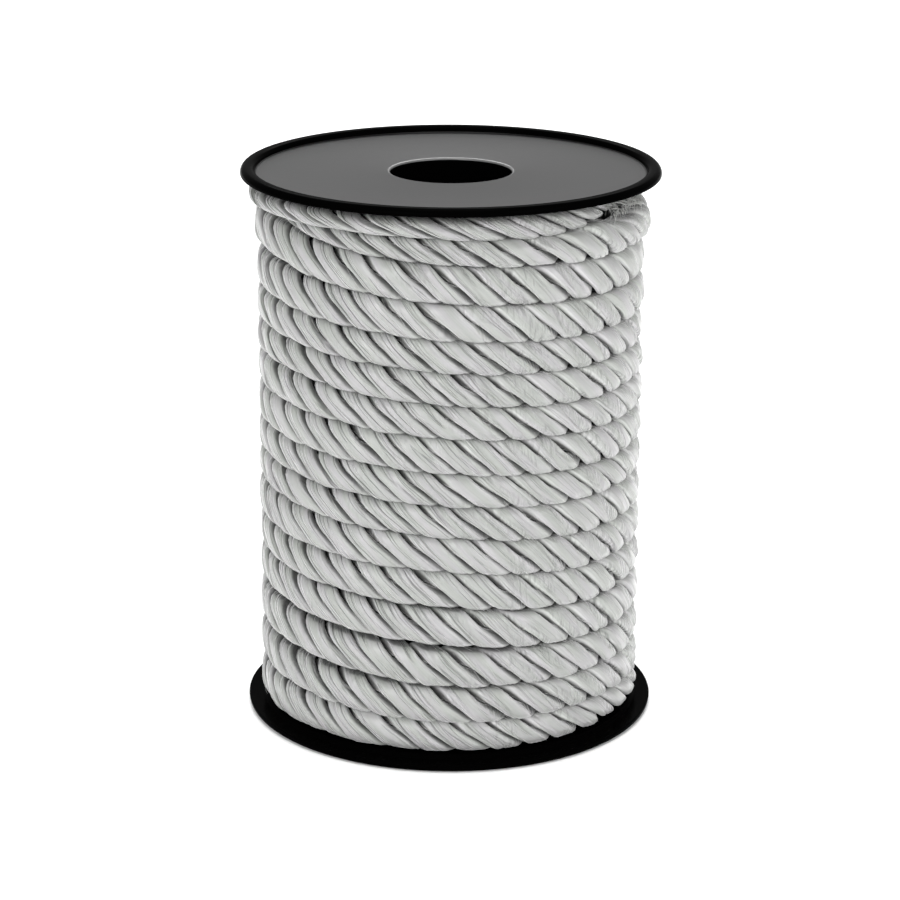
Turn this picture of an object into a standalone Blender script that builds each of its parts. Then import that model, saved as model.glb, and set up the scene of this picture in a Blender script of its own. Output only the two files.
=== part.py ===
"""A twisted craft cord wound on an upright plastic spool.

Metres, +Z up. The origin is the centre of the circle that the spool stands on.
Angles round the spool are counted from the front (-Y) towards the right (+X).
Four solids: the wound cord, the barrel that it is wound on, and two flanges.
"""
import math
from collections import namedtuple

import bmesh
import bpy
import numpy as np

MM = 0.001

# Spool
SPOOL_HEIGHT = 135.0 * MM
FLANGE_RADIUS = 50.0 * MM
FLANGE_STEPS = 72
BORE_RADIUS = 14.5 * MM
BORE_CHAMFER = 0.5 * MM
RIM_HEIGHT = 1.9 * MM
RIM_WIDTH = 3.6 * MM
RIM_LAND = 1.2 * MM
RIM_EDGE = 0.3 * MM
RECESS_DEPTH = 1.6 * MM
DISC_THICKNESS = 1.2 * MM
DISC_STEP = 0.9 * MM
COLLAR_RADIUS = 16.2 * MM
COLLAR_LENGTH = 5.0 * MM
BARREL_INNER_RADIUS = 16.5 * MM
BARREL_OUTER_RADIUS = 18.5 * MM
BARREL_STEPS = 48
ROUND_STEPS = 4
GAP = 0.3 * MM

FLANGE_THICKNESS = RECESS_DEPTH + DISC_THICKNESS

# Cord: the space that it fills, and its three-strand twist
CORD_TOP = SPOOL_HEIGHT - FLANGE_THICKNESS - GAP
CORD_BOTTOM = FLANGE_THICKNESS + GAP
CORD_SPACE = CORD_TOP - CORD_BOTTOM
CORD_INNER_RADIUS = BARREL_OUTER_RADIUS + GAP
STRAND_LOBES_PER_TURN = 34.5
STEPS_PER_LOBE = 2
STEPS_PER_TURN = round(STRAND_LOBES_PER_TURN * STEPS_PER_LOBE)
ROWS_PER_TURN = 4
CREST_ROW = 2
STRAND_SLANT_STEPS = 3
STEPS_TO_TURN_BELOW = STEPS_PER_TURN + STRAND_SLANT_STEPS
STRAND_GROOVE = 0.7 * MM
SEAM_DEPTH = 2.8 * MM
SHOULDER_DROP = 0.55 * MM

# The winding starts at the back left, under the top flange, and sinks towards the right.
START_ANGLE = -150.0
LEFT_ANGLE = -60.0
MIDDLE_ANGLE = 0.0
RIGHT_ANGLE = 45.0

# One row a turn, from the top. The seam below the turn is given in mm under the cord's top face
# and the turn's outermost radius in mm, each at the left, middle and right of the front.
Turn = namedtuple("Turn", "seam_left seam_middle seam_right radius_left radius_middle radius_right")
TURNS = [
    Turn(3.3, 4.8, 3.9, 48.4, 47.0, 45.6),
    Turn(4.6, 11.1, 12.4, 44.0, 46.4, 47.6),
    Turn(16.2, 20.1, 21.7, 46.6, 46.4, 46.3),
    Turn(25.3, 28.5, 30.2, 46.4, 46.5, 46.5),
    Turn(33.1, 36.1, 38.0, 46.5, 46.4, 46.2),
    Turn(40.7, 43.8, 45.9, 46.3, 46.3, 46.4),
    Turn(48.8, 51.6, 53.5, 46.4, 46.5, 46.5),
    Turn(57.6, 60.0, 62.2, 46.5, 46.4, 46.4),
    Turn(65.5, 67.9, 69.9, 46.3, 46.3, 46.4),
    Turn(73.0, 75.5, 78.4, 46.4, 46.4, 46.3),
    Turn(81.9, 83.7, 86.9, 46.5, 46.5, 46.4),
    Turn(90.0, 92.4, 95.6, 46.4, 46.3, 46.4),
    Turn(98.8, 102.8, 104.9, 46.4, 46.5, 46.5),
    Turn(110.2, 112.9, 113.4, 46.6, 46.4, 46.4),
    Turn(119.6, 121.3, 121.5, 46.5, 46.6, 46.6),
]

# The ends of the winding: the tucked first end, the hollow under the top flange where the cord
# dives inwards, and the wedge in which the lowest turn runs out on the bottom flange.
HOLLOW_START_ANGLE = 75.0
HOLLOW_HEIGHT = 1.4 * MM
HOLLOW_RADIUS = 43.0 * MM
TUCK_ANGLE = 14.0
TUCK_HEIGHT = 2.6 * MM
TUCK_RADIUS = 45.0 * MM
LANDING_TURNS = 15.2
LAST_STEP = round((LANDING_TURNS + 1.0) * STEPS_PER_TURN)


def remove_everything():
    for old in list(bpy.data.objects):
        bpy.data.objects.remove(old, do_unlink=True)


def plain_material(name, colour, roughness):
    material = bpy.data.materials.new(name)
    material.use_nodes = True
    shader = material.node_tree.nodes["Principled BSDF"]
    shader.inputs["Base Color"].default_value = (*colour, 1.0)
    shader.inputs["Roughness"].default_value = roughness
    shader.inputs["Metallic"].default_value = 0.0
    return material


def add_object(name, mesh_builder, material, sharp_degrees=35.0):
    mesh = bpy.data.meshes.new(name)
    bmesh.ops.recalc_face_normals(mesh_builder, faces=mesh_builder.faces)
    mesh_builder.to_mesh(mesh)
    mesh_builder.free()
    mesh.materials.append(material)
    mesh.shade_smooth()
    mesh.set_sharp_from_angle(angle=math.radians(sharp_degrees))
    thing = bpy.data.objects.new(name, mesh)
    bpy.context.scene.collection.objects.link(thing)
    return thing


def quarter_arc(centre, radius_across, radius_up, start_degrees):
    """Points of a quarter ellipse in the (radius, height) plane, turning clockwise."""
    points = []
    for i in range(ROUND_STEPS + 1):
        angle = math.radians(start_degrees - 90.0 * i / ROUND_STEPS)
        points.append((centre[0] + radius_across * math.cos(angle),
                       centre[1] + radius_up * math.sin(angle)))
    return points


def turned_solid(profile, steps):
    """Spins a closed profile of (radius, height) points about the Z axis."""
    builder = bmesh.new()
    rings = []
    for i in range(steps):
        angle = 2.0 * math.pi * i / steps
        rings.append([builder.verts.new((r * math.cos(angle), r * math.sin(angle), z)) for r, z in profile])
    for i in range(steps):
        here = rings[i]
        there = rings[(i + 1) % steps]
        for j in range(len(profile)):
            k = (j + 1) % len(profile)
            builder.faces.new((here[j], there[j], there[k], here[k]))
    return builder


def flange_profile():
    """Half section of a flange whose outer face looks up, with the rim's top at height 0."""
    rim_inside = FLANGE_RADIUS - RIM_WIDTH
    round_out = (RIM_WIDTH - RIM_LAND) / 2.0
    disc_under = -FLANGE_THICKNESS
    profile = [(BORE_RADIUS, -RECESS_DEPTH - BORE_CHAMFER),
               (BORE_RADIUS + BORE_CHAMFER, -RECESS_DEPTH),
               (rim_inside, -RECESS_DEPTH)]
    inner_round = quarter_arc((rim_inside + round_out, -round_out), round_out, round_out, 180.0)
    outer_round = quarter_arc((FLANGE_RADIUS - round_out, -round_out), round_out, round_out, 90.0)
    profile += inner_round
    profile += outer_round
    profile += [(FLANGE_RADIUS, -RIM_HEIGHT + RIM_EDGE),
                (FLANGE_RADIUS - RIM_EDGE, -RIM_HEIGHT),
                (rim_inside, -RIM_HEIGHT),
                (rim_inside - DISC_STEP, disc_under),
                (COLLAR_RADIUS, disc_under),
                (COLLAR_RADIUS, disc_under - COLLAR_LENGTH),
                (BORE_RADIUS, disc_under - COLLAR_LENGTH)]
    return profile


def make_flange(name, faces_up, material):
    level = SPOOL_HEIGHT if faces_up else 0.0
    side = 1.0 if faces_up else -1.0
    profile = [(r, level + side * z) for r, z in flange_profile()]
    return add_object(name, turned_solid(profile, FLANGE_STEPS), material)


def make_barrel(material):
    low = CORD_BOTTOM
    high = CORD_TOP
    profile = [(BARREL_INNER_RADIUS, low), (BARREL_INNER_RADIUS, high),
               (BARREL_OUTER_RADIUS, high), (BARREL_OUTER_RADIUS, low)]
    return add_object("spool_barrel", turned_solid(profile, BARREL_STEPS), material)


def laps_at(turn_index, angle):
    """How many turns of cord lie before this angle of the given turn."""
    return turn_index + (angle - START_ANGLE) / 360.0


def winding_tables():
    """The seam's depth and the outermost radius along the cord, as (laps, value) columns."""
    tuck_laps = TUCK_ANGLE / 360.0
    seam = [(0.0, 0.0), (tuck_laps, TUCK_HEIGHT)]
    radius = [(0.0, TUCK_RADIUS)]
    for index, turn in enumerate(TURNS):
        left = laps_at(index, LEFT_ANGLE)
        middle = laps_at(index, MIDDLE_ANGLE)
        right = laps_at(index, RIGHT_ANGLE)
        seam += [(left, turn.seam_left * MM), (middle, turn.seam_middle * MM), (right, turn.seam_right * MM)]
        radius += [(left, turn.radius_left * MM), (middle, turn.radius_middle * MM),
                   (right, turn.radius_right * MM)]
        if index == 0:
            hollow = laps_at(index, HOLLOW_START_ANGLE)
            seam += [(hollow, HOLLOW_HEIGHT), (1.0, HOLLOW_HEIGHT),
                     (1.0 + tuck_laps, HOLLOW_HEIGHT + TUCK_HEIGHT)]
            radius += [(hollow, HOLLOW_RADIUS), (1.0 + tuck_laps, HOLLOW_RADIUS)]
    seam.append((LANDING_TURNS, CORD_SPACE))
    return np.array(seam), np.array(radius)


SEAM_TABLE, RADIUS_TABLE = winding_tables()


def seam_depth(laps):
    """Depth of the seam below the turn, under the cord's top face."""
    return float(np.interp(laps, SEAM_TABLE[:, 0], SEAM_TABLE[:, 1]))


def outer_radius(laps):
    return float(np.interp(laps, RADIUS_TABLE[:, 0], RADIUS_TABLE[:, 1]))


def steps_along(step, row):
    """How far along the winding a point of the strip lies, in steps; each row leans with the strands."""
    return step + STRAND_SLANT_STEPS * row / ROWS_PER_TURN


def cord_point(step, row):
    """Where a point of the cord's outside lies: row 0 is in the seam above the turn."""
    laps = min(max(steps_along(step, row), 0.0), LAST_STEP) / STEPS_PER_TURN
    first_turn = laps < 1.0
    above = 0.0 if first_turn else seam_depth(laps - 1.0)
    below = seam_depth(laps)
    depth = above + (below - above) * row / ROWS_PER_TURN
    radius = outer_radius(laps)
    if row in (0, ROWS_PER_TURN):
        if not first_turn:
            radius = min(radius, outer_radius(laps - 1.0))
        turn_height = max(below - above, HOLLOW_HEIGHT)
        radius -= min(SEAM_DEPTH, turn_height / 2.0)
    else:
        if row != CREST_ROW:
            radius -= SHOULDER_DROP
        if step % STEPS_PER_LOBE == 0:
            radius -= STRAND_GROOVE
    angle = math.radians(START_ANGLE + 360.0 * laps)
    return radius * math.sin(angle), -radius * math.cos(angle), CORD_TOP - depth


def make_wound_cord(material):
    """The outside is one strip of rows and columns that runs down the winding.

    Its columns lean as the strands do, and every second one lies in the groove between two strands.
    The last row of a turn is the first row of the turn below it. The strip comes to a point at both
    ends, at the top face and at the bottom face.
    """
    builder = bmesh.new()
    verts = {}

    def vertex(step, row):
        if row == ROWS_PER_TURN and step + STEPS_TO_TURN_BELOW <= LAST_STEP:
            step, row = step + STEPS_TO_TURN_BELOW, 0
        key = (step, row)
        if steps_along(step, row) <= 0.0 or key == (STEPS_PER_TURN, 0):
            key = (0, 0)
        elif steps_along(step, row) >= LAST_STEP:
            key = (LAST_STEP, 0)
        if key not in verts:
            verts[key] = builder.verts.new(cord_point(*key))
        return verts[key]

    for step in range(-STRAND_SLANT_STEPS, LAST_STEP):
        for row in range(ROWS_PER_TURN):
            around = ((step, row), (step, row + 1), (step + 1, row + 1), (step + 1, row))
            corners = list(dict.fromkeys(vertex(*place) for place in around))
            if len(corners) > 2:
                builder.faces.new(corners)

    top_edge = [vertex(step, 0) for step in range(STEPS_PER_TURN)]
    lowest_turn = LAST_STEP - STEPS_TO_TURN_BELOW
    bottom_edge = [vertex(lowest_turn + step, ROWS_PER_TURN) for step in range(STEPS_PER_TURN)]
    add_bore(builder, top_edge, bottom_edge)
    return add_object("wound_cord", builder, material)


def add_bore(builder, top_edge, bottom_edge):
    """Closes the cord with a flat ring at the top and bottom, and a wall round the barrel."""
    count = len(top_edge)
    inner_edges = []
    for edge in (top_edge, bottom_edge):
        inner = []
        for outer in edge:
            scale = CORD_INNER_RADIUS / outer.co.xy.length
            inner.append(builder.verts.new((outer.co.x * scale, outer.co.y * scale, outer.co.z)))
        for i in range(count):
            j = (i + 1) % count
            builder.faces.new((edge[i], edge[j], inner[j], inner[i]))
        inner_edges.append(inner)
    top_inner, bottom_inner = inner_edges
    first = top_inner[0].co.xy
    turned = min(range(count), key=lambda i: (bottom_inner[i].co.xy - first).length)
    for i in range(count):
        j = (i + 1) % count
        low_i = bottom_inner[(turned + i) % count]
        low_j = bottom_inner[(turned + j) % count]
        builder.faces.new((top_inner[i], top_inner[j], low_j, low_i))


def main():
    remove_everything()
    black_plastic = plain_material("black_plastic", (0.012, 0.012, 0.012), 0.35)
    silver_cord = plain_material("silver_cord", (0.52, 0.53, 0.52), 0.5)
    make_wound_cord(silver_cord)
    make_barrel(black_plastic)
    make_flange("flange_top", True, black_plastic)
    make_flange("flange_bottom", False, black_plastic)


main()
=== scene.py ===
"""The looks of a twisted satin cord wound on a black plastic spool, on a pale studio floor."""
import math
from collections import namedtuple

import bmesh
import bpy
import numpy as np
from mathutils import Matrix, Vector


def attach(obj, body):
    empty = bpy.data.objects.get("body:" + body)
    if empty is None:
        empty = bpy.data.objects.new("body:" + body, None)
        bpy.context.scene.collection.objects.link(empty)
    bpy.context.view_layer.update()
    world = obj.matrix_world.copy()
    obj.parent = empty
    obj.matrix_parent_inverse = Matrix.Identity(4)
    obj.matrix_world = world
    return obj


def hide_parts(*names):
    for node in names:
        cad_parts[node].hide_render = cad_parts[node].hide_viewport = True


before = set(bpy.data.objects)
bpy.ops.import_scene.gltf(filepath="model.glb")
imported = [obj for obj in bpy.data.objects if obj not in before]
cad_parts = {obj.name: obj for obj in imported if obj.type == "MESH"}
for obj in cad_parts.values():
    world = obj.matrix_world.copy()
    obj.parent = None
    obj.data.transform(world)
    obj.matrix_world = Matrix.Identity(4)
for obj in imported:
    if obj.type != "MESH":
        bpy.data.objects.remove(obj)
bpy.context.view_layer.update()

MM = 0.001

# The spool, in the same named sizes as the solids
SPOOL_HEIGHT = 135.0 * MM
FLANGE_RADIUS = 50.0 * MM
BORE_RADIUS = 14.5 * MM
BORE_CHAMFER = 0.5 * MM
RIM_HEIGHT = 1.9 * MM
RIM_WIDTH = 3.6 * MM
RIM_LAND = 0.7 * MM
RIM_EDGE = 0.3 * MM
RIM_CORNER_WIDTH = 0.25 * MM
RIM_CORNER_HEIGHT = 0.2 * MM
RECESS_DEPTH = 1.6 * MM
DISC_THICKNESS = 1.2 * MM
DISC_STEP = 0.9 * MM
COLLAR_RADIUS = 16.2 * MM
COLLAR_LENGTH = 5.0 * MM
BARREL_INNER_RADIUS = 16.5 * MM
BARREL_OUTER_RADIUS = 18.5 * MM
GAP = 0.3 * MM
FLANGE_THICKNESS = RECESS_DEPTH + DISC_THICKNESS
CORD_TOP = SPOOL_HEIGHT - FLANGE_THICKNESS - GAP
CORD_BOTTOM = FLANGE_THICKNESS + GAP
CORD_SPACE = CORD_TOP - CORD_BOTTOM
LATHE_STEPS = 240
ROUND_STEPS = 8
SHARP_ANGLE = math.radians(32.0)

# The winding: laps are counted along the cord from its upper end, at the back left
START_ANGLE = -150.0
LEFT_ANGLE = -60.0
MIDDLE_ANGLE = 0.0
RIGHT_ANGLE = 45.0
Turn = namedtuple("Turn", "seam_left seam_middle seam_right radius_left radius_middle radius_right")
TURNS = [
    Turn(3.3, 4.8, 3.9, 48.9, 47.1, 45.6),
    Turn(4.6, 11.1, 12.4, 44.0, 46.4, 47.6),
    Turn(16.2, 20.1, 21.7, 46.6, 46.4, 46.3),
    Turn(25.3, 28.5, 30.2, 46.4, 46.5, 46.5),
    Turn(33.1, 36.1, 38.0, 46.5, 46.4, 46.2),
    Turn(40.7, 43.8, 45.9, 46.3, 46.3, 46.4),
    Turn(48.8, 51.6, 53.5, 46.4, 46.5, 46.5),
    Turn(57.6, 60.0, 62.2, 46.5, 46.4, 46.4),
    Turn(65.5, 67.9, 69.9, 46.3, 46.3, 46.4),
    Turn(73.0, 75.5, 78.4, 46.4, 46.4, 46.3),
    Turn(81.9, 83.7, 86.9, 46.5, 46.5, 46.4),
    Turn(90.0, 92.4, 95.6, 46.4, 46.3, 46.4),
    Turn(98.8, 102.8, 104.9, 46.4, 46.5, 46.5),
    Turn(110.2, 112.9, 113.4, 46.6, 46.4, 46.4),
    Turn(119.6, 121.3, 121.5, 46.5, 46.6, 46.6),
]
# Closer readings of the first two lower seams, as (angle, depth in mm)
FIRST_SEAM = [(20.0, 5.3), (33.0, 5.6), (45.0, 4.7), (53.0, 3.7), (62.0, 2.4)]
SECOND_SEAM = [(-50.0, 7.3), (-40.0, 8.5), (-30.0, 9.3), (-20.0, 10.0)]
SECOND_RADIUS = [(-52.0, 45.2), (-40.0, 46.2)]
# Where the first turn has gone under the flange, the second one leaves a hollow above it
HOLLOW_FLOOR = [(40.0, 0.0), (50.0, 4.4), (58.0, 5.8), (74.0, 5.8),
                (90.0, 4.8), (115.0, 3.0), (150.0, 1.4), (160.0, 0.0)]
HOLLOW_START_ANGLE = 72.0
HOLLOW_HEIGHT = 1.4 * MM
HOLLOW_RADIUS = 40.0 * MM
TUCK_ANGLE = 14.0
TUCK_HEIGHT = 2.6 * MM
TUCK_RADIUS = 45.0 * MM
LANDING_TURNS = 15.2
DIVE_TURNS = 15.8
DIVE_RADIUS = 40.0 * MM
FIRST_LAP = -0.06
LAST_LAP = LANDING_TURNS + 1.0
HALF_CUT = 7.0 + 330.0 / 360.0
TABLE_STEP = 0.002
SEAM_ROUNDING = 0.012
RADIUS_ROUNDING = 0.02
CENTRE_LINE_RADIUS_MM = 42.4
AROUND_SPOOL = 2.0 * math.pi * CENTRE_LINE_RADIUS_MM * MM

# The cord and its strands
CORD_RADIUS = 4.15 * MM
STRANDS = 3
STRAND_LOBES_PER_TURN = 34.5
HALF_HEIGHT_MIN = 2.2 * MM
HALF_HEIGHT_MAX = 4.7 * MM
HALF_DEPTH_MIN = 3.7 * MM
HALF_DEPTH_MAX = 5.2 * MM
SEAM_PRESS = 1.09
CORD_SQUARENESS = 2.5
TOP_SQUARENESS = 3.2
BOTTOM_SQUARENESS_RIGHT = 2.15
BOTTOM_SQUARENESS_LEFT = 2.7
LEAN_RIGHT = 0.55 * MM
LEAN_LEFT = 0.20 * MM
STRAND_STEP = 1.1 * MM
STRAND_POINTS = 33
STRAND_HALF_ANGLE = math.radians(60.0)
STRAND_GAP_WIDE = 0.16
STRAND_GAP_NARROW = 0.05
STRAND_HEART = 0.18
LOBE_STRETCH = 0.05
LOBE_STRETCH_LEFT = 0.14
OPEN_SIDE_DROP = 0.44
OPEN_SIDE_POWER = 8.0
OPEN_SIDE_POWER_RIGHT = 5.0
SHUT_SIDE_DROP = 0.50
SHUT_SIDE_POWER = 12.0
SHUT_SIDE_POWER_RIGHT = 6.0
STRAND_MERGING = 0.45
CREASE_PLACES = (-0.80, -0.60, -0.25, 0.55)
CREASE_WIDTH = 0.12
CREASE_DEPTH = 0.06
CREASE_START = 0.1
MERGING_START = 0.1
MERGING_RANGE = 0.6
GAP_START = 0.3
# The two points behind each strand's face that close its section, and their steps in the uv map
HEART_PLACES = (0.8, -0.8)
HEART_UV_STEPS = (2.0, 4.0)
STRAND_UV_SHIFT = 0.05
UV_PER_METRE = 1000.0

# Unevenness along the cord: its reach, the seed of its random phases and its wavelengths in metres
Wave = namedtuple("Wave", "reach seed lengths")
RADIUS_WAVE = Wave(0.20 * MM, 3, (0.021, 0.047, 0.013))
HEIGHT_WAVE = Wave(0.18 * MM, 4, (0.025, 0.061, 0.017))
CORD_TWIST_WAVE = Wave(math.radians(12.0), 5, (0.16, 0.071, 0.31))
STRAND_TWIST_WAVE = Wave(math.radians(8.0), 10, (0.05, 0.024))
FULLNESS_WAVE = Wave(0.055, 20, (0.009, 0.023, 0.055))
CREASE_PLACE_WAVE = Wave(0.12, 40, (0.03, 0.08, 0.018))
CREASE_FADE_WAVE = Wave(1.0, 80, (0.024, 0.06))

# Loose hairs: ranges in millimetres, but the lay in twists and the section in radians
HAIR_SIDES = 4
HAIR_TAPER = 0.85
FUZZ_HAIRS = 700
FUZZ_SEED = 11
FUZZ_POINTS = 7
FUZZ_THICKNESS = 0.035 * MM
FUZZ_FIRST_LAP = 0.05
FUZZ_LENGTH = (2.0, 7.0)
FUZZ_LAY = (0.4, 1.3)
FUZZ_SECTION = (-0.9, 0.9)
FUZZ_ROOT_LIFT = 0.02 * MM
FUZZ_END_LIFT = (0.1, 0.9)
FUZZ_LIFT_POWER = 1.5

# Broken filaments: ranges in millimetres, but the place round the spool in degrees
FRAYED_HAIRS = 90
FRAYED_SEED = 5
FRAYED_POINTS = 9
FRAYED_ANGLE = (56.0, 84.0)
FRAYED_ROOT_RADIUS = (40.5, 44.0)
FRAYED_ROOT_DEPTH = (0.3, 3.5)
FRAYED_REACH = (1.5, 3.4)
FRAYED_SAG = (0.4, 3.8)
FRAYED_DRIFT = (-3.0, 3.0)
FRAYED_CURL = (-0.8, 0.8)
FRAYED_THICKNESS = (0.05, 0.11)
FRAYED_BEND = 1.9
FRAYED_CURL_BENDS = 6.0

# The layer of cord below the outer one
INNER_PITCH = 8.3 * MM
INNER_CREST = 41.0 * MM
INNER_GROOVE = 2.2 * MM
INNER_STEPS = 96
INNER_ROWS = 6


def smooth_table(rows, spread):
    """A table of (laps, value) rows as a dense curve whose corners are rounded over a spread of laps."""
    table = np.array(sorted(rows))
    margin = 4.0 * spread
    laps = np.arange(-margin, LAST_LAP + margin, TABLE_STEP)
    values = np.interp(laps, table[:, 0], table[:, 1])
    reach = int(margin / TABLE_STEP)
    kernel = np.exp(-0.5 * (np.arange(-reach, reach + 1) * TABLE_STEP / spread) ** 2)
    padded = np.pad(values, reach, mode="edge")
    return laps, np.convolve(padded, kernel / kernel.sum(), mode="valid")


def laps_at(turn_index, angle):
    return turn_index + (angle - START_ANGLE) / 360.0


def winding_tables():
    tuck_laps = TUCK_ANGLE / 360.0
    seam = [(-1.0, 0.0), (0.0, 0.0), (tuck_laps, TUCK_HEIGHT)]
    radius = [(-0.1, TUCK_RADIUS)]
    for index, turn in enumerate(TURNS):
        left = laps_at(index, LEFT_ANGLE)
        middle = laps_at(index, MIDDLE_ANGLE)
        right = laps_at(index, RIGHT_ANGLE)
        seam += [(left, turn.seam_left * MM), (middle, turn.seam_middle * MM)]
        if index > 0:
            seam.append((right, turn.seam_right * MM))
        radius += [(left, turn.radius_left * MM), (middle, turn.radius_middle * MM),
                   (right, turn.radius_right * MM)]
        if index == 0:
            hollow = laps_at(index, HOLLOW_START_ANGLE)
            seam += [(hollow, HOLLOW_HEIGHT), (1.0, HOLLOW_HEIGHT),
                     (1.0 + tuck_laps, HOLLOW_HEIGHT + TUCK_HEIGHT)]
            radius += [(hollow, HOLLOW_RADIUS), (1.0 + tuck_laps, HOLLOW_RADIUS)]
    seam += [(laps_at(0, angle), depth * MM) for angle, depth in FIRST_SEAM]
    seam += [(laps_at(1, angle), depth * MM) for angle, depth in SECOND_SEAM]
    radius += [(laps_at(1, angle), value * MM) for angle, value in SECOND_RADIUS]
    seam.append((LANDING_TURNS, CORD_SPACE))
    radius += [(DIVE_TURNS, TURNS[-1].radius_right * MM), (LAST_LAP, DIVE_RADIUS)]
    return smooth_table(seam, SEAM_ROUNDING), smooth_table(radius, RADIUS_ROUNDING)


SEAM_CURVE, RADIUS_CURVE = winding_tables()


def winding(laps):
    """The cord's centre line and section: angle, height, radius, half height and half depth."""
    above = np.interp(laps - 1.0, *SEAM_CURVE)
    above = np.where(laps < 1.0, 0.0, above)
    hollow = np.array([(laps_at(1, angle), depth * MM) for angle, depth in HOLLOW_FLOOR])
    above = np.maximum(above, np.interp(laps, hollow[:, 0], hollow[:, 1], left=0.0, right=0.0))
    below = np.interp(laps, *SEAM_CURVE)
    half_height = np.clip((below - above) / 2.0 * SEAM_PRESS, HALF_HEIGHT_MIN, HALF_HEIGHT_MAX)
    half_depth = np.clip(CORD_RADIUS ** 2 / half_height, HALF_DEPTH_MIN, HALF_DEPTH_MAX)
    radius = np.interp(laps, *RADIUS_CURVE) - half_depth
    depth = np.clip((above + below) / 2.0, half_height, CORD_SPACE - half_height)
    angle = np.radians(START_ANGLE + 360.0 * laps)
    return angle, CORD_TOP - depth, radius, half_height, half_depth


def waves(along, seed, lengths):
    """A smooth random curve between about -1 and 1: a few sine waves with fixed random phases."""
    rng = np.random.default_rng(seed)
    total = np.zeros_like(along)
    for length in lengths:
        total += np.sin(2.0 * math.pi * (along / (length * rng.uniform(0.9, 1.1)) + rng.uniform()))
    return total / len(lengths)


def strayed(along, wave, shift=0):
    return wave.reach * waves(along, wave.seed + shift, wave.lengths)


def grid_mesh(name, points, uv_maps):
    """A closed tube from rings of points, with named uv maps that run on over each ring's last edge."""
    rings, around = points.shape[:2]
    index = np.arange(rings * around).reshape(rings, around)
    after = np.roll(index, -1, axis=1)
    quads = np.stack([index[:-1], after[:-1], after[1:], index[1:]], axis=-1).reshape(-1, 4)
    caps = [index[0][::-1].tolist(), index[-1].tolist()]
    mesh = bpy.data.meshes.new(name)
    mesh.from_pydata(points.reshape(-1, 3).tolist(), [], quads.tolist() + caps)
    for label, uvs in uv_maps.items():
        uv_next = np.roll(uvs, -1, axis=1)
        uv_next[:, -1, 1] = 2.0 * uvs[:, -1, 1] - uvs[:, -2, 1]
        corner_uvs = np.stack([uvs[:-1], uv_next[:-1], uv_next[1:], uvs[1:]], axis=2).reshape(-1, 2)
        cap_uvs = np.concatenate([uvs[0][::-1], uvs[-1]])
        layer = mesh.uv_layers.new(name=label)
        layer.data.foreach_set("uv", np.concatenate([corner_uvs, cap_uvs]).astype(np.float32).ravel())
    mesh.shade_smooth()
    mesh.polygons[-1].use_smooth = False
    mesh.polygons[-2].use_smooth = False
    mesh.update()
    return mesh


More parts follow.
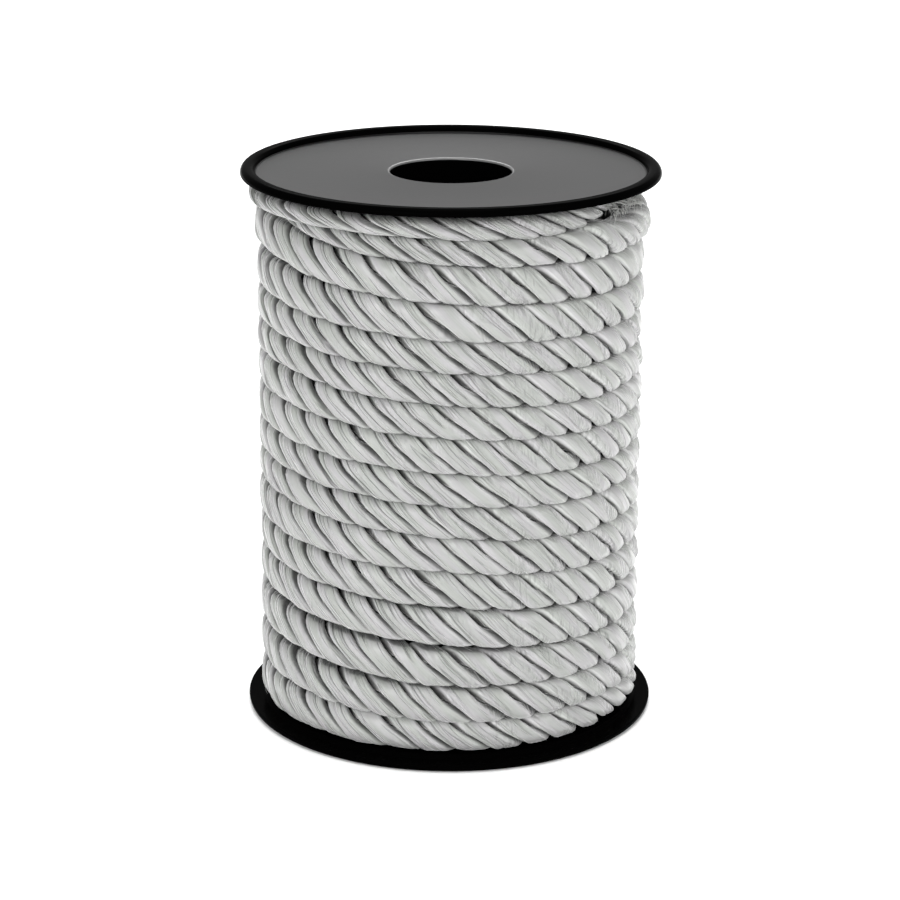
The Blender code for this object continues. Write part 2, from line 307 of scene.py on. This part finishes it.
def make_strand(number, part, first_laps, last_laps, material):
    """One strand, swept round the cord's centre line from one place on the winding to another."""
    count = int((last_laps - first_laps) * AROUND_SPOOL / STRAND_STEP)
    laps = np.linspace(first_laps, last_laps, count)
    along = laps * AROUND_SPOOL
    angle, height, radius, half_height, half_depth = winding(laps)
    radius = radius + strayed(along, RADIUS_WAVE)
    height = height + strayed(along, HEIGHT_WAVE)

    twist = -2.0 * math.pi * STRAND_LOBES_PER_TURN / STRANDS * laps
    twist += strayed(along, CORD_TWIST_WAVE)
    twist += 2.0 * math.pi * number / STRANDS + strayed(along, STRAND_TWIST_WAVE, number)

    across = np.sin(np.linspace(-0.5 * math.pi, 0.5 * math.pi, STRAND_POINTS))
    across = np.concatenate([across, HEART_PLACES])
    heart = slice(STRAND_POINTS, None)
    middle = np.sin(twist)
    leftness = 0.5 - 0.5 * np.sin(angle)

    def between(right, left):
        return (right + (left - right) * leftness)[:, None]

    open_power = between(OPEN_SIDE_POWER_RIGHT, OPEN_SIDE_POWER)
    shut_power = between(SHUT_SIDE_POWER_RIGHT, SHUT_SIDE_POWER)
    groove = OPEN_SIDE_DROP * np.abs(np.minimum(across, 0.0))[None, :] ** open_power
    groove += SHUT_SIDE_DROP * np.abs(np.maximum(across, 0.0))[None, :] ** shut_power
    groove[:, heart] = 1.0 - STRAND_HEART
    gap_range = STRAND_GAP_WIDE - STRAND_GAP_NARROW
    gap = STRAND_GAP_NARROW + gap_range * np.clip(GAP_START + middle, 0.0, 1.0) * leftness
    section = twist[:, None] + across[None, :] * STRAND_HALF_ANGLE * (1.0 - gap[:, None])
    stretch = LOBE_STRETCH + LOBE_STRETCH_LEFT * leftness
    section -= stretch[:, None] * np.sin(2.0 * section)
    fullness = 1.0 + strayed(along, FULLNESS_WAVE, number)
    crease = np.zeros_like(section)
    for k in range(len(CREASE_PLACES)):
        place = CREASE_PLACES[k] + strayed(along, CREASE_PLACE_WAVE, 7 * number + k)
        fade = strayed(along, CREASE_FADE_WAVE, 5 * number + k)
        strength = CREASE_DEPTH * np.clip(CREASE_START + fade, 0.0, 1.0)
        crease += strength[:, None] * np.exp(-((across[None, :] - place[:, None]) / CREASE_WIDTH) ** 2)
    merging = leftness[:, None] * np.clip((-np.sin(section) - MERGING_START) / MERGING_RANGE, 0.0, 1.0)
    merging[:, heart] = 0.0
    reach = (1.0 - groove * (1.0 - STRAND_MERGING * merging)) * fullness[:, None] - crease
    bottom_power = between(BOTTOM_SQUARENESS_RIGHT, BOTTOM_SQUARENESS_LEFT)
    power = np.where(np.sin(section) > 0.0, TOP_SQUARENESS, bottom_power)
    reach *= (np.abs(np.cos(section)) ** power + np.abs(np.sin(section)) ** power) ** (-1.0 / power)
    level = reach * np.sin(section)
    outward = reach * half_depth[:, None] * np.cos(section)
    outward -= between(LEAN_RIGHT, LEAN_LEFT) * np.sin(section)
    upward = level * half_height[:, None]
    distance = radius[:, None] + outward
    points = np.stack([distance * np.sin(angle)[:, None], -distance * np.cos(angle)[:, None],
                       height[:, None] + upward], axis=-1)
    uv_across = across * STRAND_HALF_ANGLE * CORD_RADIUS
    uv_across[heart] = uv_across[STRAND_POINTS - 1] + np.array(HEART_UV_STEPS) * MM
    uvs = np.stack([np.repeat(along[:, None], len(across), axis=1),
                    np.repeat(uv_across[None, :], count, axis=0) + number * STRAND_UV_SHIFT], axis=-1)
    uvs = uvs * UV_PER_METRE
    places = np.stack([np.repeat(leftness[:, None], len(across), axis=1),
                       np.repeat(across[None, :], count, axis=0)], axis=-1)
    levels = np.stack([level, np.zeros_like(level)], axis=-1)
    name = f"strand_{number + 1}_{part}"
    mesh = grid_mesh(name, points, {"strand": uvs, "place": places, "level": levels})
    return add_piece(name, mesh, material)


def add_piece(name, mesh, material):
    thing = bpy.data.objects.new(name, mesh)
    bpy.context.scene.collection.objects.link(thing)
    if material:
        mesh.materials.append(material)
    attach(thing, "root")
    return thing


def turned_mesh(name, profile, steps=LATHE_STEPS, shiny_within=None, shiny_level=0.0):
    """Spins a closed profile of (radius, height) points about the Z axis.

    Faces within a radius and close to a level get the second material, and those round the bore's edge the
    third, a painted highlight.
    """
    shiny_reach = RECESS_DEPTH + 1.1 * BORE_CHAMFER
    edge_reach = BORE_RADIUS + 1.05 * BORE_CHAMFER
    builder = bmesh.new()
    rings = []
    for i in range(steps):
        angle = 2.0 * math.pi * i / steps
        rings.append([builder.verts.new((r * math.cos(angle), r * math.sin(angle), z)) for r, z in profile])
    for i in range(steps):
        here = rings[i]
        there = rings[(i + 1) % steps]
        for j in range(len(profile)):
            k = (j + 1) % len(profile)
            face = builder.faces.new((here[j], there[j], there[k], here[k]))
            near = max(abs(profile[j][1] - shiny_level), abs(profile[k][1] - shiny_level)) <= shiny_reach
            widest = max(profile[j][0], profile[k][0])
            if shiny_within and near and widest <= shiny_within:
                face.material_index = 2 if widest <= edge_reach else 1
    bmesh.ops.recalc_face_normals(builder, faces=builder.faces)
    mesh = bpy.data.meshes.new(name)
    builder.to_mesh(mesh)
    builder.free()
    mesh.shade_smooth()
    mesh.set_sharp_from_angle(angle=SHARP_ANGLE)
    return mesh


def quarter_arc(centre, radius, start_degrees, turn=-90.0):
    points = []
    for i in range(ROUND_STEPS + 1):
        angle = math.radians(start_degrees + turn * i / ROUND_STEPS)
        points.append((centre[0] + radius * math.cos(angle), centre[1] + radius * math.sin(angle)))
    return points


def flange_profile():
    rim_inside = FLANGE_RADIUS - RIM_WIDTH
    round_out = (RIM_WIDTH - RIM_LAND) / 2.0
    disc_under = -FLANGE_THICKNESS
    chamfer = quarter_arc((BORE_RADIUS + BORE_CHAMFER, -RECESS_DEPTH - BORE_CHAMFER), BORE_CHAMFER, 180.0)
    disc = [(rim_inside - RIM_CORNER_WIDTH, -RECESS_DEPTH),
            (rim_inside, -RECESS_DEPTH + RIM_CORNER_HEIGHT)]
    inner_round = quarter_arc((rim_inside + round_out, -round_out), round_out, 180.0)
    outer_round = quarter_arc((FLANGE_RADIUS - round_out, -round_out), round_out, 90.0)
    foot_round = quarter_arc((FLANGE_RADIUS - RIM_EDGE, -RIM_HEIGHT + RIM_EDGE), RIM_EDGE, 0.0)
    under = [(rim_inside, -RIM_HEIGHT),
             (rim_inside - DISC_STEP, disc_under),
             (COLLAR_RADIUS, disc_under),
             (COLLAR_RADIUS, disc_under - COLLAR_LENGTH),
             (BORE_RADIUS, disc_under - COLLAR_LENGTH)]
    return chamfer + disc + inner_round + outer_round + foot_round + under


def make_flange(name, node, faces_up, plastics):
    level = SPOOL_HEIGHT if faces_up else 0.0
    side = 1.0 if faces_up else -1.0
    profile = [(r, level + side * z) for r, z in flange_profile()]
    mesh = turned_mesh(name, profile, shiny_within=FLANGE_RADIUS - RIM_WIDTH, shiny_level=level)
    for plastic in plastics:
        mesh.materials.append(plastic)
    piece = add_piece(name, mesh, None)
    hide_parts(node)
    return piece


def make_barrel(material):
    profile = [(BARREL_INNER_RADIUS, CORD_BOTTOM), (BARREL_INNER_RADIUS, CORD_TOP),
               (BARREL_OUTER_RADIUS, CORD_TOP), (BARREL_OUTER_RADIUS, CORD_BOTTOM)]
    piece = add_piece("barrel", turned_mesh("barrel", profile), material)
    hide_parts("spool_barrel")
    return piece


def fibre_mesh(name, paths, thickness):
    """Many thin tapered hairs as one mesh, each swept along its own path."""
    sides = HAIR_SIDES
    points = []
    faces = []
    for path, thick in zip(paths, thickness):
        steps = len(path)
        ahead = np.gradient(path, axis=0)
        ahead /= np.linalg.norm(ahead, axis=1)[:, None]
        side = np.cross(ahead, (0.0, 0.0, 1.0))
        side /= np.maximum(np.linalg.norm(side, axis=1)[:, None], 1e-6)
        up = np.cross(side, ahead)
        taper = thick * np.sqrt(1.0 - HAIR_TAPER * np.linspace(0.0, 1.0, steps))
        first = len(points)
        for i in range(steps):
            for k in range(sides):
                turn = 2.0 * math.pi * k / sides
                points.append(path[i] + taper[i] * (math.cos(turn) * side[i] + math.sin(turn) * up[i]))
        for i in range(steps - 1):
            for k in range(sides):
                here = first + i * sides
                there = here + sides
                after = (k + 1) % sides
                faces.append((here + k, here + after, there + after, there + k))
        faces.append(tuple(first + k for k in reversed(range(sides))))
        faces.append(tuple(first + (steps - 1) * sides + k for k in range(sides)))
    mesh = bpy.data.meshes.new(name)
    mesh.from_pydata([tuple(point) for point in points], [], faces)
    mesh.shade_smooth()
    return mesh


def cord_surface(laps, section, lift):
    """Points on the cord's rounded envelope, lifted off it by a distance."""
    angle, height, radius, half_height, half_depth = winding(laps)
    power = CORD_SQUARENESS
    round_off = (np.abs(np.cos(section)) ** power + np.abs(np.sin(section)) ** power) ** (-1.0 / power)
    distance = radius + half_depth * round_off * np.cos(section) + lift * np.cos(section)
    level = height + half_height * round_off * np.sin(section) + lift * np.sin(section)
    return np.stack([distance * np.sin(angle), -distance * np.cos(angle), level], axis=-1)


def make_fuzz(material):
    """Loose hairs that lie on the strands and stand off a little at their ends."""
    rng = np.random.default_rng(FUZZ_SEED)
    steps = np.linspace(0.0, 1.0, FUZZ_POINTS)
    paths = []
    for _ in range(FUZZ_HAIRS):
        length = rng.uniform(*FUZZ_LENGTH) * MM
        start = rng.uniform(FUZZ_FIRST_LAP, LANDING_TURNS)
        laps = start + steps * length / AROUND_SPOOL * rng.choice((-1.0, 1.0))
        lay = rng.uniform(*FUZZ_LAY) * 2.0 * math.pi * STRAND_LOBES_PER_TURN / STRANDS
        section = rng.uniform(*FUZZ_SECTION) - (laps - laps[0]) * lay
        lift = FUZZ_ROOT_LIFT + rng.uniform(*FUZZ_END_LIFT) * MM * steps ** FUZZ_LIFT_POWER
        paths.append(cord_surface(laps, section, lift))
    mesh = fibre_mesh("fuzz", paths, [FUZZ_THICKNESS] * len(paths))
    return add_piece("fuzz", mesh, material)


def make_frayed_end(material):
    """Broken filaments hanging out of the hollow under the top flange, at the right."""
    rng = np.random.default_rng(FRAYED_SEED)
    steps = np.linspace(0.0, 1.0, FRAYED_POINTS)[:, None]
    paths = []
    thickness = []
    for _ in range(FRAYED_HAIRS):
        angle = math.radians(rng.uniform(*FRAYED_ANGLE))
        outward = np.array([math.sin(angle), -math.cos(angle), 0.0])
        along = np.array([math.cos(angle), math.sin(angle), 0.0])
        root = outward * rng.uniform(*FRAYED_ROOT_RADIUS) * MM
        root = root + np.array([0.0, 0.0, CORD_TOP - rng.uniform(*FRAYED_ROOT_DEPTH) * MM])
        reach = rng.uniform(*FRAYED_REACH) * MM
        sag = rng.uniform(*FRAYED_SAG) * MM
        drift = rng.uniform(*FRAYED_DRIFT) * MM
        curl = rng.uniform(*FRAYED_CURL) * MM
        path = root + outward * reach * np.sin(steps * FRAYED_BEND)
        path = path + along * (drift * steps + curl * np.sin(steps * FRAYED_CURL_BENDS))
        path = path - np.array([0.0, 0.0, 1.0]) * sag * steps ** 2
        paths.append(path)
        thickness.append(rng.uniform(*FRAYED_THICKNESS) * MM)
    return add_piece("frayed_end", fibre_mesh("frayed_end", paths, thickness), material)


def make_inner_layer(material):
    """The layer of cord below the outer one, seen only through the hollows between turns."""
    profile = []
    turns = int(CORD_SPACE / INNER_PITCH)
    for turn in range(turns):
        for row in range(INNER_ROWS):
            wave = abs(math.sin(math.pi * row / INNER_ROWS))
            height = CORD_TOP - (turn + row / INNER_ROWS) * CORD_SPACE / turns
            profile.append((INNER_CREST - INNER_GROOVE * (1.0 - wave), height))
    profile.append((INNER_CREST - INNER_GROOVE, CORD_BOTTOM))
    profile += [(BARREL_OUTER_RADIUS + GAP, CORD_BOTTOM), (BARREL_OUTER_RADIUS + GAP, CORD_TOP)]
    return add_piece("inner_layer", turned_mesh("inner_layer", profile, INNER_STEPS), material)


def new_material(name, colour, roughness):
    material = bpy.data.materials.new(name)
    material.use_nodes = True
    tree = material.node_tree
    shader = tree.nodes["Principled BSDF"]
    shader.inputs["Base Color"].default_value = (*colour, 1.0)
    shader.inputs["Roughness"].default_value = roughness
    return material, tree, shader


# Painted light and shade over a strand's width, from its lower edge (0) to its upper one (1): a painted
# highlight along the lower edge, a softer middle and painted shade in the grooves
WIDTH_PAINTED_LIGHT_LEFT = ((0.0, 0.30), (0.03, 0.50), (0.05, 1.0), (0.075, 1.34), (0.11, 1.34), (0.15, 1.02),
                     (0.30, 0.96), (0.50, 0.93), (0.75, 0.97), (0.93, 0.92), (0.97, 0.45), (1.0, 0.30))
WIDTH_PAINTED_LIGHT_RIGHT = ((0.0, 0.20), (0.03, 0.35), (0.05, 1.0), (0.075, 1.42), (0.11, 1.42), (0.15, 1.04),
                      (0.30, 0.95), (0.50, 0.88), (0.72, 0.92), (0.86, 1.02), (0.92, 0.92), (0.96, 0.38),
                      (1.0, 0.20))
# Painted light and shade over the cord's height, from its bottom (0) to its top (1): a painted highlight
# along the ends of the strands and painted shade in the seams beyond it
LEVEL_PAINTED_LIGHT = ((0.0, 0.25), (0.045, 0.40), (0.070, 1.16), (0.115, 1.16), (0.155, 1.0),
                (0.90, 1.0), (0.95, 0.88), (0.975, 0.40), (1.0, 0.25))
# Where the threads lie over the whole width, from the lower edge (0) to the upper one (1)
THREAD_PLACES = (0.13, 0.29, 0.62)
THREAD_WIDTH = 0.042
# Painted shade along each thread line and a painted highlight beside it
THREAD_PAINTED_HIGHLIGHT_END = 1.9 * THREAD_WIDTH
THREAD_PAINTED_SHADE = 0.48
THREAD_PAINTED_HIGHLIGHT = 1.16
THREAD_WANDER = 0.40
SATIN_GREENISH = (0.362, 0.374, 0.354)
SATIN_PINKISH = (0.398, 0.392, 0.398)
STREAK_AMOUNT = 0.8
FIBRE_RELIEF = 0.04
YARN_RELIEF = 0.08
WRINKLE_RELIEF = 1.10
THREAD_RELIEF = 0.70
RELIEF_HEIGHT = 0.7 * MM


def grey(shade):
    return (shade, shade, shade)


def thread_painted_light_stops():
    stops = [(0.0, 1.0)]
    for place in THREAD_PLACES:
        stops += [(place - THREAD_WIDTH, 1.0), (place, THREAD_PAINTED_SHADE), (place + THREAD_WIDTH, THREAD_PAINTED_HIGHLIGHT),
                  (place + THREAD_PAINTED_HIGHLIGHT_END, 1.0)]
    return stops + [(1.0, 1.0)]


def satin_material():
    material, tree, shader = new_material("satin_cord", (0.4, 0.4, 0.4), 0.34)
    nodes = tree.nodes
    links = tree.links
    uv = nodes.new("ShaderNodeUVMap")
    uv.uv_map = "strand"

    def stretched_noise(scale_along, scale_across, detail, rough):
        mapping = nodes.new("ShaderNodeMapping")
        mapping.inputs["Scale"].default_value = (scale_along, scale_across, 1.0)
        noise = nodes.new("ShaderNodeTexNoise")
        noise.inputs["Scale"].default_value = 1.0
        noise.inputs["Detail"].default_value = detail
        noise.inputs["Roughness"].default_value = rough
        links.new(uv.outputs["UV"], mapping.inputs["Vector"])
        links.new(mapping.outputs["Vector"], noise.inputs["Vector"])
        return noise.outputs["Fac"]

    def ramp(value, low, high, low_colour, high_colour):
        node = nodes.new("ShaderNodeValToRGB")
        node.color_ramp.elements[0].position = low
        node.color_ramp.elements[1].position = high
        node.color_ramp.elements[0].color = (*low_colour, 1.0)
        node.color_ramp.elements[1].color = (*high_colour, 1.0)
        links.new(value, node.inputs["Fac"])
        return node.outputs["Color"]

    def blended(kind, factor, one, two):
        node = nodes.new("ShaderNodeMix")
        node.data_type = "RGBA"
        node.blend_type = kind
        if isinstance(factor, float):
            node.inputs["Factor"].default_value = factor
        else:
            links.new(factor, node.inputs["Factor"])
        links.new(one, node.inputs["A"])
        links.new(two, node.inputs["B"])
        return node.outputs["Result"]

    def shade_curve(value, shades):
        node = nodes.new("ShaderNodeValToRGB")
        stops = node.color_ramp
        for end in (0, 1):
            stops.elements[end].position = shades[-end][0]
            stops.elements[end].color = (*[shades[-end][1]] * 3, 1.0)
        for place, shade in shades[1:-1]:
            stops.elements.new(place).color = (shade, shade, shade, 1.0)
        links.new(value, node.inputs["Fac"])
        return node.outputs["Color"]

    def combined(operation, one, two):
        node = nodes.new("ShaderNodeMath")
        node.operation = operation
        links.new(one, node.inputs[0])
        if isinstance(two, float):
            node.inputs[1].default_value = two
        else:
            links.new(two, node.inputs[1])
        return node.outputs["Value"]

    def place_between(value, low, high):
        node = nodes.new("ShaderNodeMapRange")
        node.inputs["From Min"].default_value = low
        node.inputs["From Max"].default_value = high
        links.new(value, node.inputs["Value"])
        return node.outputs["Result"]

    def map_parts(label):
        uv_map = nodes.new("ShaderNodeUVMap")
        uv_map.uv_map = label
        parts = nodes.new("ShaderNodeSeparateXYZ")
        links.new(uv_map.outputs["UV"], parts.inputs["Vector"])
        return parts.outputs["X"], parts.outputs["Y"]

    fibres = stretched_noise(0.09, 2.3, 3.0, 0.6)
    yarns = stretched_noise(0.05, 0.8, 2.0, 0.5)
    tint = stretched_noise(0.09, 0.25, 1.0, 0.5)
    wrinkle_place = stretched_noise(0.075, 0.12, 1.0, 0.5)
    wrinkles = stretched_noise(1.5, 0.22, 1.0, 0.5)

    base = ramp(tint, 0.40, 0.64, SATIN_GREENISH, SATIN_PINKISH)
    streak = ramp(fibres, 0.36, 0.64, grey(0.90), grey(1.05))
    colour = blended("MULTIPLY", STREAK_AMOUNT, base, streak)

    # Painted light and shade over each strand's width, which differ from right to left, and over the cord's
    # height
    left_place, across_place = map_parts("place")
    level_place, _unused = map_parts("level")
    width_place = place_between(across_place, -1.0, 1.0)
    painted_width_light_right = shade_curve(width_place, WIDTH_PAINTED_LIGHT_RIGHT)
    painted_width_light_left = shade_curve(width_place, WIDTH_PAINTED_LIGHT_LEFT)
    leftness = ramp(left_place, 0.30, 0.70, grey(0.0), grey(1.0))
    painted_level_light = shade_curve(place_between(level_place, -1.0, 1.0), LEVEL_PAINTED_LIGHT)
    colour = blended("MULTIPLY", 1.0, colour, blended("MIX", leftness, painted_width_light_right, painted_width_light_left))
    colour = blended("MULTIPLY", 1.0, colour, painted_level_light)

    # Single threads that stand apart raise thin lines along the strand in relief, and each line gets
    # painted shade with a painted highlight beside it
    shifted = nodes.new("ShaderNodeMath")
    shifted.operation = "MULTIPLY_ADD"
    shifted.inputs[1].default_value = THREAD_WANDER
    links.new(stretched_noise(0.045, 0.02, 2.0, 0.5), shifted.inputs[0])
    links.new(across_place, shifted.inputs[2])
    thread_middle = 0.5 * THREAD_WANDER
    thread_place = place_between(shifted.outputs["Value"], -1.0 + thread_middle, 1.0 + thread_middle)
    thread_relief_and_painted_light = shade_curve(thread_place, thread_painted_light_stops())
    thread_mask = ramp(stretched_noise(0.05, 0.45, 1.0, 0.5), 0.51, 0.56, grey(0.0), grey(1.0))
    thread_side = ramp(left_place, 0.25, 0.62, grey(0.25), grey(1.0))
    thread_amount = combined("MULTIPLY", thread_mask, thread_side)
    colour = blended("MULTIPLY", thread_amount, colour, thread_relief_and_painted_light)

    # Patches of wrinkles that run across a strand, fewer at the left: in relief, with painted shade in
    # their troughs
    wrinkle_patches = ramp(wrinkle_place, 0.50, 0.56, grey(0.0), grey(1.0))
    wrinkle_side = ramp(left_place, 0.30, 0.55, grey(1.0), grey(0.3))
    wrinkle_amount = combined("MULTIPLY", wrinkle_patches, wrinkle_side)
    wrinkle_painted_shade = ramp(wrinkles, 0.36, 0.46, grey(0.80), grey(1.02))
    colour = blended("MULTIPLY", wrinkle_amount, colour, wrinkle_painted_shade)
    links.new(colour, shader.inputs["Base Color"])

    relief = combined("MULTIPLY", fibres, FIBRE_RELIEF)
    for height, amount in (
        (yarns, YARN_RELIEF),
        (combined("MULTIPLY", wrinkles, wrinkle_amount), WRINKLE_RELIEF),
        (combined("MULTIPLY", thread_relief_and_painted_light, thread_amount), THREAD_RELIEF),
    ):
        relief = combined("ADD", relief, combined("MULTIPLY", height, amount))
    bump = nodes.new("ShaderNodeBump")
    bump.inputs["Strength"].default_value = 1.0
    bump.inputs["Distance"].default_value = RELIEF_HEIGHT
    links.new(relief, bump.inputs["Height"])
    links.new(bump.outputs["Normal"], shader.inputs["Normal"])
    tangent = nodes.new("ShaderNodeTangent")
    tangent.direction_type = "UV_MAP"
    tangent.uv_map = "strand"
    links.new(tangent.outputs["Tangent"], shader.inputs["Tangent"])
    shader.inputs["Anisotropic"].default_value = 0.7
    shader.inputs["Anisotropic Rotation"].default_value = 0.25
    shader.inputs["Specular IOR Level"].default_value = 0.6
    shader.inputs["Sheen Weight"].default_value = 0.8
    shader.inputs["Sheen Roughness"].default_value = 0.35
    return material


def filament_material():
    material, tree, shader = new_material("loose_filament", (0.5, 0.5, 0.5), 0.4)
    nodes = tree.nodes
    coordinates = nodes.new("ShaderNodeTexCoord")
    noise = nodes.new("ShaderNodeTexNoise")
    noise.inputs["Scale"].default_value = 400.0
    shades = nodes.new("ShaderNodeValToRGB")
    shades.color_ramp.elements[0].color = (0.36, 0.37, 0.35, 1.0)
    shades.color_ramp.elements[1].color = (0.62, 0.62, 0.60, 1.0)
    tree.links.new(coordinates.outputs["Object"], noise.inputs["Vector"])
    tree.links.new(noise.outputs["Fac"], shades.inputs["Fac"])
    tree.links.new(shades.outputs["Color"], shader.inputs["Base Color"])
    return material


def plastic_material(name, shade, roughness, specular):
    material, tree, shader = new_material(name, (shade, shade, shade), roughness)
    shader.inputs["Specular IOR Level"].default_value = specular
    nodes = tree.nodes
    coordinates = nodes.new("ShaderNodeTexCoord")
    noise = nodes.new("ShaderNodeTexNoise")
    noise.inputs["Scale"].default_value = 900.0
    noise.inputs["Detail"].default_value = 2.0
    bump = nodes.new("ShaderNodeBump")
    bump.inputs["Strength"].default_value = 0.15
    bump.inputs["Distance"].default_value = 0.05 * MM
    tree.links.new(coordinates.outputs["Object"], noise.inputs["Vector"])
    tree.links.new(noise.outputs["Fac"], bump.inputs["Height"])
    tree.links.new(bump.outputs["Normal"], shader.inputs["Normal"])
    return material


# Plastics: shade, roughness and specular level
RIM_PLASTIC = (0.0006, 0.20, 0.0015)
DISC_PLASTIC = (0.003, 0.36, 0.06)
# The bore's rounded edge: a light grey that paints a highlight line round the hole
BORE_EDGE_PAINTED_HIGHLIGHT = (0.11, 0.25, 0.3)

# The studio. Each light has a name, a place, a width, a power in watts and a point that it faces
FLOOR_REACH = 6.0
WORLD_STRENGTH = 0.60
SPOOL_MIDDLE = (0.0, 0.0, 0.07)
LIGHTS = [
    ("overhead", (0.0, -0.1, 1.3), 0.6, 9.0, SPOOL_MIDDLE),
    ("key", (-0.55, -1.15, 0.60), 0.70, 8.4, SPOOL_MIDDLE),
    ("fill", (0.95, -0.85, 0.60), 0.70, 6.0, SPOOL_MIDDLE),
    ("backdrop", (0.0, 2.0, 1.6), 1.6, 60.0, (0.0, 1.6, 0.0)),
]

# Camera: the photo's frame is square, 900 pixels wide
FRAME_PIXELS = 900.0
SENSOR_WIDTH = 36.0
CAMERA_DISTANCE = 14.0 * FLANGE_RADIUS
CAMERA_ELEVATION = 17.4
CAMERA_FOCAL_PIXELS = 2862.0
CAMERA_AIM_HEIGHT = 1.276 * FLANGE_RADIUS
CAMERA_ROLL = 0.2


def make_camera():
    data = bpy.data.cameras.new("camera")
    data.sensor_width = SENSOR_WIDTH
    data.lens = CAMERA_FOCAL_PIXELS * SENSOR_WIDTH / FRAME_PIXELS
    camera = bpy.data.objects.new("camera", data)
    bpy.context.scene.collection.objects.link(camera)
    elevation = math.radians(CAMERA_ELEVATION)
    back = Vector((0.0, -math.cos(elevation), math.sin(elevation)))
    camera.location = Vector((0.0, 0.0, CAMERA_AIM_HEIGHT)) + back * CAMERA_DISTANCE
    camera.rotation_euler = (-back).to_track_quat("-Z", "Y").to_euler()
    camera.rotation_euler.rotate_axis("Z", math.radians(CAMERA_ROLL))
    bpy.context.scene.camera = camera


def make_floor():
    mesh = bpy.data.meshes.new("floor")
    corners = [(x * FLOOR_REACH, y * FLOOR_REACH, 0.0) for x, y in ((-1, -1), (1, -1), (1, 1), (-1, 1))]
    mesh.from_pydata(corners, [], [(0, 1, 2, 3)])
    material, _tree, shader = new_material("pale_floor", (0.95, 0.95, 0.95), 0.9)
    shader.inputs["Specular IOR Level"].default_value = 0.1
    mesh.materials.append(material)
    floor = bpy.data.objects.new("floor", mesh)
    bpy.context.scene.collection.objects.link(floor)


def area_light(name, place, size, power, aim):
    data = bpy.data.lights.new(name, "AREA")
    data.shape = "SQUARE"
    data.size = size
    data.energy = power
    light = bpy.data.objects.new(name, data)
    light.location = place
    light.rotation_euler = (Vector(aim) - Vector(place)).to_track_quat("-Z", "Y").to_euler()
    bpy.context.scene.collection.objects.link(light)


def make_light():
    world = bpy.data.worlds.new("studio")
    bpy.context.scene.world = world
    world.use_nodes = True
    background = world.node_tree.nodes["Background"]
    background.inputs["Color"].default_value = (1.0, 1.0, 1.0, 1.0)
    background.inputs["Strength"].default_value = WORLD_STRENGTH
    for light in LIGHTS:
        area_light(*light)


def main():
    bpy.context.scene.view_settings.view_transform = "Standard"
    make_camera()
    make_floor()
    make_light()
    satin = satin_material()
    rim_plastic = plastic_material("rim_plastic", *RIM_PLASTIC)
    disc_plastic = plastic_material("disc_plastic", *DISC_PLASTIC)
    for number in range(STRANDS):
        upper = make_strand(number, "upper", FIRST_LAP, HALF_CUT, satin)
        lower = make_strand(number, "lower", HALF_CUT, LAST_LAP, satin)
        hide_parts("wound_cord")
        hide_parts("wound_cord")
    make_inner_layer(satin)
    filament = filament_material()
    make_fuzz(filament)
    make_frayed_end(filament)
    # A light grey plastic that paints a highlight on the bore's edge
    bore_edge_highlight_plastic = plastic_material("bore_edge_painted_highlight", *BORE_EDGE_PAINTED_HIGHLIGHT)
    plastics = (rim_plastic, disc_plastic, bore_edge_highlight_plastic)
    make_barrel(rim_plastic)
    make_flange("top_flange", "flange_top", True, plastics)
    make_flange("bottom_flange", "flange_bottom", False, plastics)


main()
